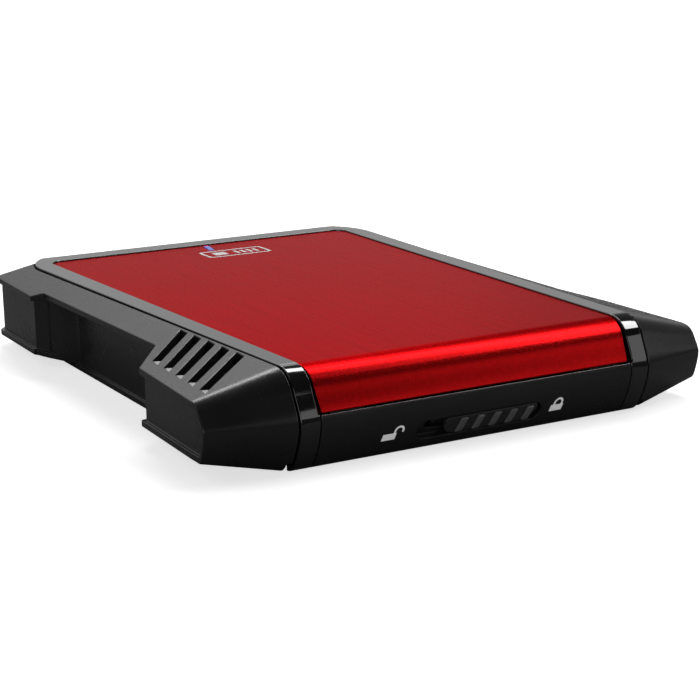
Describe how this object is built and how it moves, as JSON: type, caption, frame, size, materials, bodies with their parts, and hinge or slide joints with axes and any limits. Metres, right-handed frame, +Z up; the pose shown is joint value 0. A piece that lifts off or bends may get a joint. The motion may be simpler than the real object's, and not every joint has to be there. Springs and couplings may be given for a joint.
{
  "type": "external solid state drive",
  "caption": "Flat external solid state drive: a 2.5-inch drive on a USB bridge board in a winged plastic enclosure, with a red metal topped cover held by a sliding lock.",
  "frame": {"origin": "centre of the footprint, on the surface the drive rests on", "axes": "+Y from the lock at the front to the USB socket at the back, +X to the right seen from the front, +Z up"},
  "size_m": [0.1004, 0.1224, 0.0175],
  "materials": {
    "housing_matt_black": "matt moulded polycarbonate, lightly textured",
    "frame_gloss_black": "polished piano black",
    "plate_red_aluminium": "fine brushed, satin red anodised",
    "fascia_black": "satin moulded plastic",
    "lock_black": "satin moulded plastic",
    "floor_black": "matt moulded plastic",
    "lock_steel": "bright rolled spring steel",
    "screw_steel": "zinc plated",
    "light_guide": "clear tinted acrylic, lit blue",
    "bridge_board_green": "solder mask",
    "drive_board_blue": "solder mask",
    "chip_black": "moulded epoxy",
    "crystal_steel": "bright can",
    "ferrite_grey": "sintered ferrite",
    "led_resin": "clear resin",
    "connector_black": "glass-filled nylon",
    "socket_steel": "tin plated",
    "foam_grey": "closed-cell foam",
    "thermal_pad_grey": "soft silicone",
    "drive_case_grey": "cast and blasted, dark anodised",
    "label_white": "printed paper label with no lettering"
  },
  "bodies": {
    "base": {"outer_housing": "housing_matt_black", "bottom_plate": "floor_black", "bridge_board": "bridge_board_green", "bridge_chip": "chip_black", "firmware_chip": "chip_black", "clock_crystal": "crystal_steel", "power_inductor": "ferrite_grey", "status_led": "led_resin", "usb_socket_shell": "socket_steel", "usb_socket_tongue": "connector_black", "sata_receptacle": "connector_black", "board_screw_left": "screw_steel", "board_screw_right": "screw_steel", "floor_screw_left": "screw_steel", "floor_screw_right": "screw_steel"},
    "cover": {"cover_frame": "frame_gloss_black", "red_top_plate": "plate_red_aluminium", "front_fascia": "fascia_black", "led_light_pipe": "light_guide", "lock_spring": "lock_steel", "foam_pad_left": "foam_grey", "foam_pad_right": "foam_grey", "fascia_screw_left": "screw_steel", "fascia_screw_right": "screw_steel"},
    "lock": {"lock_button": "lock_black", "lock_bar": "lock_steel"},
    "drive": {"ssd_case_bottom": "drive_case_grey", "ssd_case_lid": "drive_case_grey", "ssd_board": "drive_board_blue", "ssd_controller": "chip_black", "ssd_memory_buffer": "chip_black", "thermal_pad": "thermal_pad_grey", "flash_chip_1": "chip_black", "flash_chip_2": "chip_black", "flash_chip_3": "chip_black", "flash_chip_4": "chip_black", "sata_plug": "connector_black", "ssd_label": "label_white", "case_screw_1": "screw_steel", "case_screw_2": "screw_steel", "case_screw_3": "screw_steel", "case_screw_4": "screw_steel"}
  },
  "joints": [
    {"name": "cover_slide", "type": "slide", "parent": "base", "child": "cover", "axis": [0, -0.866, 0.5], "range_m": [0, 0.08]},
    {"name": "lock_slide", "type": "slide", "parent": "cover", "child": "lock", "axis": [-1, 0, 0], "range_m": [0, 0.0052]},
    {"name": "drive_slide", "type": "slide", "parent": "base", "child": "drive", "axis": [0, -1, 0], "range_m": [0, 0.03]}
  ],
  "couplings": [
    {"joint": "drive_slide", "follows": "cover_slide", "ratio": 0.375}
  ]
}
